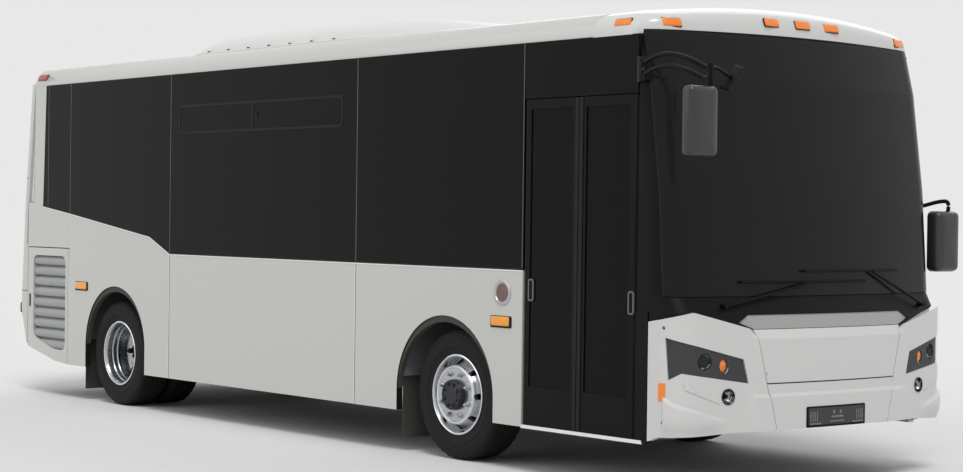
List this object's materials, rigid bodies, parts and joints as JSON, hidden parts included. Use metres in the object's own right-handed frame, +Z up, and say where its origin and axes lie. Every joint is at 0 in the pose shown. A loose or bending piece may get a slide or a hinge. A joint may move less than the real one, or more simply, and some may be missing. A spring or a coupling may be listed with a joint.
{
  "type": "single-deck city bus",
  "caption": "Single-deck city bus with a two-leaf entrance door at the front, bonded side windows, roof cooler, rear engine, steered front wheels and twin rear wheels.",
  "frame": {"origin": "on the ground at the middle of the bus's overall length, between the front of the right mirror and the tail, on its centre line", "axes": "+X forward, +Y to the bus's left, +Z up"},
  "size_m": [8.8548, 2.915, 3.05],
  "materials": {
    "body_white": "smooth warm white paint",
    "frame_black": "satin black chassis paint",
    "black_trim": "gloss black mouldings",
    "dark_glass": "dark tinted glass",
    "screen_glass": "tinted laminated glass",
    "lamp_glass": "clear lamp cover",
    "lamp_pan": "dark grey lamp housing",
    "amber": "amber lens",
    "red": "red lens",
    "alloy": "polished wheel",
    "tyre": "rubber",
    "rubber": "grey-black rubber",
    "floor_grey": "grey floor covering",
    "seat_fabric": "blue seat cloth",
    "dash_plastic": "dark grey plastic",
    "steel_rail": "brushed steel tube",
    "axle_black": "black cast parts",
    "engine_grey": "grey engine block",
    "mirror": "mirror glass",
    "cooler_white": "white moulded cover"
  },
  "bodies": {
    "body": {"chassis_frame": "frame_black", "floor_deck": "floor_grey", "roof_shell": "body_white", "front_cap": "body_white", "windshield_surround": "black_trim", "windshield": "screen_glass", "front_panels": "body_white", "headlamp_housings": "lamp_pan", "headlamp_lenses": "lamp_glass", "wipers": "black_trim", "right_side_panels": "body_white", "left_side_panels": "body_white", "window_frames": "black_trim", "side_windows": "dark_glass", "rear_wall": "body_white", "rear_window": "dark_glass", "rear_bumper": "body_white", "ac_unit": "cooler_white", "mirrors": "black_trim", "mirror_glass": "mirror", "amber_lamps": "amber", "red_lamps": "red", "arch_rubbers": "rubber", "engine_block": "engine_grey", "fuel_tank": "frame_black", "axles": "axle_black", "seats": "seat_fabric", "dashboard": "dash_plastic", "grab_rails": "steel_rail"},
    "left_knuckle": {"left_knuckle": "axle_black"},
    "right_knuckle": {"right_knuckle": "axle_black"},
    "left_front_wheel": {"left_front_tyre": "tyre", "left_front_rim": "alloy"},
    "right_front_wheel": {"right_front_tyre": "tyre", "right_front_rim": "alloy"},
    "left_rear_wheels": {"left_rear_tyres": "tyre", "left_rear_rims": "alloy"},
    "right_rear_wheels": {"right_rear_tyres": "tyre", "right_rear_rims": "alloy"},
    "front_door_leaf": {"door_front_leaf": "black_trim", "door_front_glass": "dark_glass"},
    "rear_door_leaf": {"door_rear_leaf": "black_trim", "door_rear_glass": "dark_glass"},
    "engine_hatch": {"engine_hatch": "body_white"},
    "left_engine_door": {"left_engine_door": "body_white"},
    "right_engine_door": {"right_engine_door": "body_white"}
  },
  "joints": [
    {"name": "left_steer", "type": "hinge", "parent": "body", "child": "left_knuckle", "pos_m": [1.928, 0.89, 0.4335], "axis": [0, 0, 1], "range_deg": [-38, 38]},
    {"name": "right_steer", "type": "hinge", "parent": "body", "child": "right_knuckle", "pos_m": [1.928, -0.89, 0.4335], "axis": [0, 0, 1], "range_deg": [-38, 38]},
    {"name": "left_front_roll", "type": "hinge", "parent": "left_knuckle", "child": "left_front_wheel", "pos_m": [1.928, 1.0325, 0.4335], "axis": [0, 1, 0], "continuous": true},
    {"name": "right_front_roll", "type": "hinge", "parent": "right_knuckle", "child": "right_front_wheel", "pos_m": [1.928, -1.0325, 0.4335], "axis": [0, 1, 0], "continuous": true},
    {"name": "left_rear_roll", "type": "hinge", "parent": "body", "child": "left_rear_wheels", "pos_m": [-2.635, 0.8825, 0.4335], "axis": [0, 1, 0], "continuous": true},
    {"name": "right_rear_roll", "type": "hinge", "parent": "body", "child": "right_rear_wheels", "pos_m": [-2.635, -0.8825, 0.4335], "axis": [0, 1, 0], "continuous": true},
    {"name": "front_leaf_swing", "type": "hinge", "parent": "body", "child": "front_door_leaf", "pos_m": [3.685, -1.2, 1.3], "axis": [0, 0, 1], "range_deg": [0, 95]},
    {"name": "rear_leaf_swing", "type": "hinge", "parent": "body", "child": "rear_door_leaf", "pos_m": [2.692, -1.2, 1.3], "axis": [0, 0, -1], "range_deg": [0, 95]},
    {"name": "hatch_lift", "type": "hinge", "parent": "body", "child": "engine_hatch", "pos_m": [-4.40438, 0, 1.557], "axis": [0, 1, 0], "range_deg": [0, 80]},
    {"name": "left_engine_door_swing", "type": "hinge", "parent": "body", "child": "left_engine_door", "pos_m": [-3.448, 1.195, 0.8], "axis": [0, 0, -1], "range_deg": [0, 100]},
    {"name": "right_engine_door_swing", "type": "hinge", "parent": "body", "child": "right_engine_door", "pos_m": [-3.448, -1.195, 0.8], "axis": [0, 0, 1], "range_deg": [0, 100]}
  ],
  "couplings": [
    {"joint": "right_steer", "follows": "left_steer", "ratio": 1},
    {"joint": "rear_leaf_swing", "follows": "front_leaf_swing", "ratio": 1}
  ]
}
